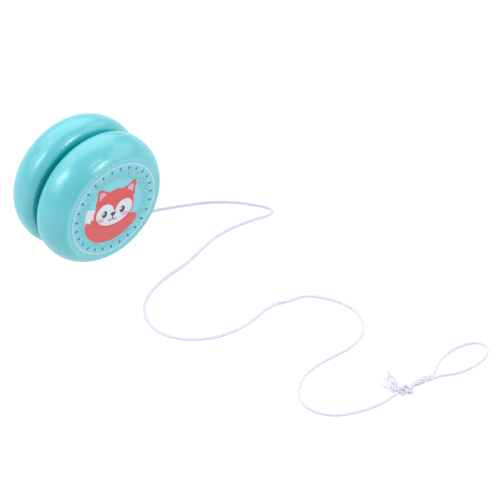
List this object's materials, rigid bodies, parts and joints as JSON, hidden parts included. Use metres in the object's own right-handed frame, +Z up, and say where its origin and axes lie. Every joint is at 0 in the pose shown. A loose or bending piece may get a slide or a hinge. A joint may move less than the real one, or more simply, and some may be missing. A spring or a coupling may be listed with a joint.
{
  "type": "yo-yo",
  "caption": "Turned wooden yo-yo with printed flat faces, a fixed axle in a narrow slot and a twisted cotton string that ends in a finger loop.",
  "frame": {"origin": "on the floor, under the middle of the yo-yo", "axes": "+Z up, the spin axis along Y, the printed front face towards -Y, the string laid out towards +X and -Y"},
  "size_m": [0.1037, 0.1669, 0.0551],
  "materials": {
    "painted_wood": "turquoise paint under a satin lacquer",
    "bare_wood": "bare turned beech",
    "print_film": "satin printed transfer",
    "cotton": "twisted cotton, slightly fuzzy"
  },
  "bodies": {
    "string": {"string_winding": "cotton", "string": "cotton", "string_knot": "cotton", "finger_knot": "cotton", "loop_tail": "cotton", "finger_loop": "cotton", "frayed_ends": "cotton"},
    "yo_yo": {"front_half": "painted_wood", "rear_half": "painted_wood", "axle": "bare_wood", "front_print": "print_film", "rear_print": "print_film"}
  },
  "joints": [
    {"name": "spin", "type": "hinge", "parent": "string", "child": "yo_yo", "pos_m": [0, 0, 0.0275], "axis": [0, 1, 0], "continuous": true}
  ]
}
